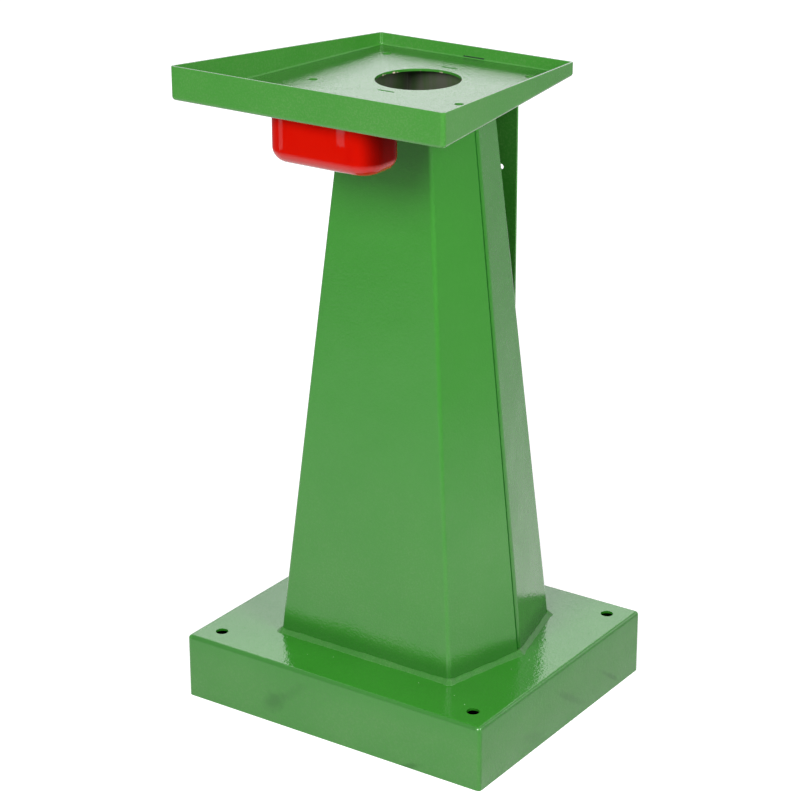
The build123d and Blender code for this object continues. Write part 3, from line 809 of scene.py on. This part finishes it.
studio = {"floorReach": 14.0, "floorSides": 96, "floorColour": (0.6, 0.6, 0.6, 1), "floorRoughness": 0.9,
          "floorSeen": (0.6, 2.5, 0.76, 1.0),  # how white the floor looks near the stand and far away
          "mirrored": (0.7, 2.4, 0.78, 0.42), "rightFalls": (0.2, 0.27, 1.0, 0.56),
          "rightRises": (0.35, 0.9, 1.0, 1.8),  # and how white in a reflection, also to the right
          "underBase": (220.5 * mm, 190.5 * mm), "baseMiddle": (0.0, 17 * mm), "underEdge": 1 * mm,
          "seenWorld": 1.0, "fillWorld": 0.06}
lamps = {  # place, aim, width, height, brightness seen in a reflection, tint
    "frontSoftbox": ((0.2, -2.6, 2.2), (0.0, 0.0, 0.5), 1.4, 1.2, 11.8, (1.0, 1.0, 1.0)),
    "lowSoftbox": ((0.0, -2.6, 1.5), (0.0, 0.0, 0.5), 1.4, 1.2, 3.8, (1.0, 1.0, 1.0)),
    "rightSoftbox": ((1.6, -0.25, 1.3), (0.0, 0.0, 0.6), 0.9, 0.9, 9.1, (1.0, 1.0, 1.0)),
    "backSoftbox": ((-2.0, 3.0, 2.3), (0.0, 0.0, 0.5), 3.0, 0.8, 1.7, (1.0, 1.0, 1.0)),
    "backStrip": ((-2.0, 3.0, 1.6), (0.0, 0.0, 0.5), 3.0, 0.6, 1.05, (0.84, 0.92, 0.95)),
    "leftSoftbox": ((-2.4, 0.4, 1.5), (0.0, 0.0, 0.5), 1.2, 1.0, 3.6, (1.0, 1.0, 1.0)),
    "rearSoftbox": ((1.4, 2.6, 1.6), (0.0, 0.0, 0.5), 1.2, 1.0, 1.5, (1.0, 1.0, 1.0))}

def emitWhite(tree, shader, seen):  # the floor's own light, for the camera and for reflections
    where = objectPlace(tree)
    outwards = vectorNode(tree, "LENGTH", where)
    watched = mapRange(tree, outwards, *studio["floorSeen"])
    mirrored = mapRange(tree, outwards, *studio["mirrored"])
    for change in ("rightFalls", "rightRises"):
        mirrored = product(tree, mirrored, mapRange(tree, axisPart(tree, where, "X"), *studio[change]))
    bounced = mathNode(tree, "MAXIMUM", seen.outputs["Is Glossy Ray"], seen.outputs["Is Transmission Ray"])
    lift = mathNode(tree, "MAXIMUM", product(tree, seen.outputs["Is Camera Ray"], watched),
                    product(tree, bounced, mirrored))
    offset = vectorNode(tree, "SUBTRACT", where, (*studio["baseMiddle"], 0.0))
    beside = []
    for axis, half in zip("XY", studio["underBase"]):
        distance = mathNode(tree, "ABSOLUTE", axisPart(tree, offset, axis))
        beside.append(mathNode(tree, "SUBTRACT", distance, half))
    clear = mapRange(tree, mathNode(tree, "MAXIMUM", *beside),
                     -studio["underEdge"], studio["underEdge"], 0.0, 1.0)  # dark under the hollow base
    shader.inputs["Emission Color"].default_value = (1, 1, 1, 1)
    joinTo(tree, product(tree, lift, clear), shader.inputs["Emission Strength"])

def makeFloor():
    material, tree, shader = startMaterial("studioFloor")
    shader.inputs["Base Color"].default_value = studio["floorColour"]
    shader.inputs["Roughness"].default_value = studio["floorRoughness"]
    shader.inputs["Specular IOR Level"].default_value = 0.0
    seen = addNode(tree, "ShaderNodeLightPath")
    emitWhite(tree, shader, seen)
    glass = addNode(tree, "ShaderNodeBsdfTransparent")
    mix = addNode(tree, "ShaderNodeMixShader")  # a camera below the floor sees through it
    below = addNode(tree, "ShaderNodeNewGeometry").outputs["Backfacing"]
    joinTo(tree, product(tree, below, seen.outputs["Is Camera Ray"]), mix.inputs[0])
    joinTo(tree, shader.outputs[0], mix.inputs[1])
    joinTo(tree, glass.outputs[0], mix.inputs[2])
    joinTo(tree, mix.outputs[0], tree.nodes["Material Output"].inputs["Surface"])
    data = bpy.data.meshes.new("floor")
    mesh = bmesh.new()
    bmesh.ops.create_circle(mesh, cap_ends=True, segments=studio["floorSides"], radius=studio["floorReach"])
    mesh.to_mesh(data)
    mesh.free()
    data.materials.append(material)
    floor = bpy.data.objects.new("floor", data)
    scene.collection.objects.link(floor)

def makeWorld():
    world = bpy.data.worlds.new("studioWorld")
    scene.world = world
    world.use_nodes = True
    tree = world.node_tree
    tree.nodes.clear()
    seen = addNode(tree, "ShaderNodeLightPath")
    watched = seen.outputs["Is Camera Ray"]
    for ray in ("Is Glossy Ray", "Is Transmission Ray"):
        watched = mathNode(tree, "MAXIMUM", watched, seen.outputs[ray])
    mix = addNode(tree, "ShaderNodeMixShader")
    joinTo(tree, watched, mix.inputs[0])
    for place, strength in zip(mix.inputs[1:], (studio["fillWorld"], studio["seenWorld"])):
        background = addNode(tree, "ShaderNodeBackground")
        background.inputs["Color"].default_value = (1, 1, 1, 1)
        background.inputs["Strength"].default_value = strength
        joinTo(tree, background.outputs[0], place)
    joinTo(tree, mix.outputs[0], addNode(tree, "ShaderNodeOutputWorld").inputs["Surface"])

def makeLamp(name, place, aim, width, height, brightness, tint):
    data = bpy.data.lights.new(name, "AREA")
    data.color = tint
    data.shape = "RECTANGLE"
    data.size, data.size_y = width, height
    data.energy = brightness * math.pi * width * height  # watts that give the wanted radiance
    lamp = bpy.data.objects.new(name, data)
    facing = (Vector(aim) - Vector(place)).to_track_quat("-Z", "Y")
    lamp.matrix_world = Matrix.Translation(place) @ facing.to_matrix().to_4x4()
    lamp.visible_camera = False
    scene.collection.objects.link(lamp)

makeFloor()
makeWorld()
for lampName, lampFacts in lamps.items():
    makeLamp(lampName, *lampFacts)
scene.view_settings.view_transform = "Standard"
print("studio set")
